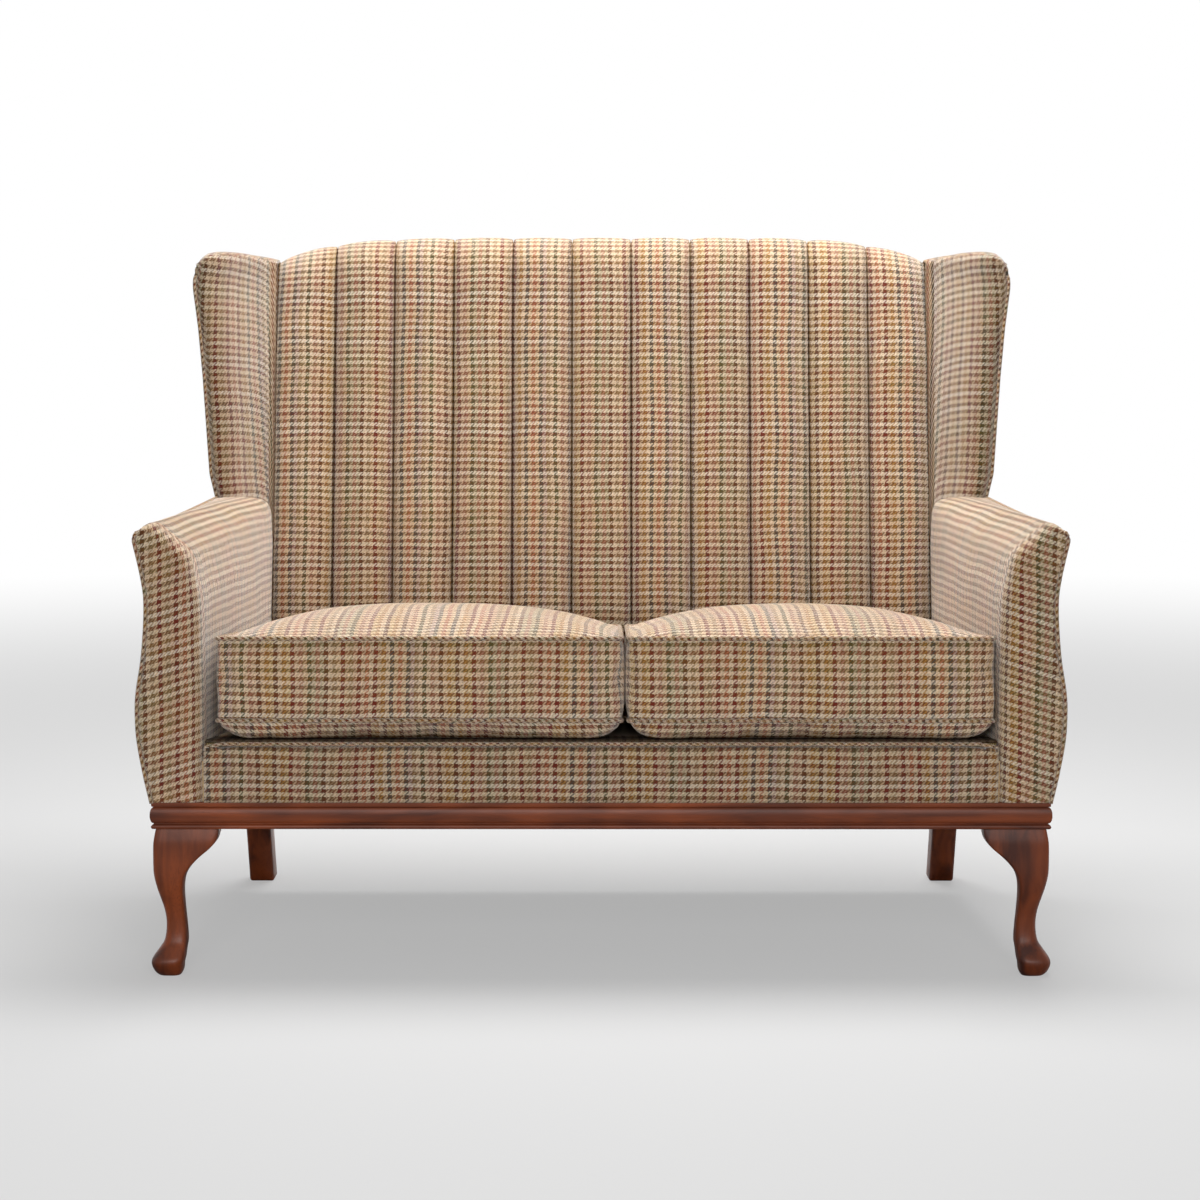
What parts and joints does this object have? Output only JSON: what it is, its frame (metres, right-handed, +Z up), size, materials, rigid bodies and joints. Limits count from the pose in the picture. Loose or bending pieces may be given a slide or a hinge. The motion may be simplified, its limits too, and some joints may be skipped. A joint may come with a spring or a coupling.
{
  "type": "high back settee",
  "caption": "Traditional upholstered high back settee with a fluted back, short wings, shaped arms, loose boxed and piped seat cushions, a show-wood moulding and cabriole front legs.",
  "frame": {"origin": "centre of the base: the middle of the bounding box on the floor, under the feet", "axes": "+X to the viewer's right along the width, +Y towards the back, +Z up; the front faces -Y"},
  "size_m": [1.3498, 0.831, 1.0879],
  "materials": {
    "frame_beech": "sawn and planed beech, unfinished",
    "show_wood": "reddish-brown mahogany stain under a satin polish",
    "steel": "plain drawn wire and pressed clips",
    "hessian": "coarse jute sacking",
    "webbing": "woven jute and elastic webbing",
    "padding": "cotton felt",
    "dust_cloth": "black cambric",
    "tweed": "multicoloured houndstooth wool tweed, matt",
    "piping_tweed": "houndstooth wool tweed cut on the bias over cord, matt",
    "zip_tape": "woven tape with moulded teeth",
    "slider_brass": "plain cast zip slider"
  },
  "bodies": {
    "settee": {"front_seat_rail": "frame_beech", "rear_seat_rail": "frame_beech", "left_side_rail": "frame_beech", "right_side_rail": "frame_beech", "centre_seat_bearer": "frame_beech", "corner_blocks": "frame_beech", "left_front_post": "frame_beech", "right_front_post": "frame_beech", "left_arm_rail": "frame_beech", "right_arm_rail": "frame_beech", "left_lower_arm_rail": "frame_beech", "right_lower_arm_rail": "frame_beech", "left_back_post": "frame_beech", "right_back_post": "frame_beech", "top_back_rail": "frame_beech", "lower_back_rail": "frame_beech", "back_slat": "frame_beech", "left_wing_post": "frame_beech", "right_wing_post": "frame_beech", "left_wing_rail": "frame_beech", "right_wing_rail": "frame_beech", "frame_dowels": "frame_beech", "front_moulding": "show_wood", "left_side_moulding": "show_wood", "right_side_moulding": "show_wood", "left_front_leg": "show_wood", "right_front_leg": "show_wood", "left_rear_leg": "show_wood", "right_rear_leg": "show_wood", "leg_bolts": "steel", "seat_springs": "steel", "spring_clips": "steel", "spring_hessian": "hessian", "edge_roll": "hessian", "platform_pad": "padding", "deck_cloth": "tweed", "back_webbing": "webbing", "back_hessian": "hessian", "dust_cover": "dust_cloth", "inside_back": "tweed", "outside_back": "tweed", "left_inside_arm": "tweed", "right_inside_arm": "tweed", "left_outside_arm": "tweed", "right_outside_arm": "tweed", "left_inside_wing": "tweed", "right_inside_wing": "tweed", "left_outside_wing": "tweed", "right_outside_wing": "tweed", "front_border": "tweed", "trim_piping": "piping_tweed"},
    "left_cushion": {"left_seat_cushion": "tweed", "left_cushion_piping": "piping_tweed", "left_cushion_zip": "zip_tape"},
    "right_cushion": {"right_seat_cushion": "tweed", "right_cushion_piping": "piping_tweed", "right_cushion_zip": "zip_tape"},
    "left_slider": {"left_zip_slider": "slider_brass"},
    "right_slider": {"right_zip_slider": "slider_brass"}
  },
  "joints": [
    {"name": "left_cushion_lift", "type": "slide", "parent": "settee", "child": "left_cushion", "axis": [0, 0, 1], "range_m": [0, 0.25]},
    {"name": "right_cushion_lift", "type": "slide", "parent": "settee", "child": "right_cushion", "axis": [0, 0, 1], "range_m": [0, 0.25]},
    {"name": "left_zip", "type": "slide", "parent": "left_cushion", "child": "left_slider", "axis": [-1, 0, 0], "range_m": [0, 0.418]},
    {"name": "right_zip", "type": "slide", "parent": "right_cushion", "child": "right_slider", "axis": [1, 0, 0], "range_m": [0, 0.418]}
  ]
}
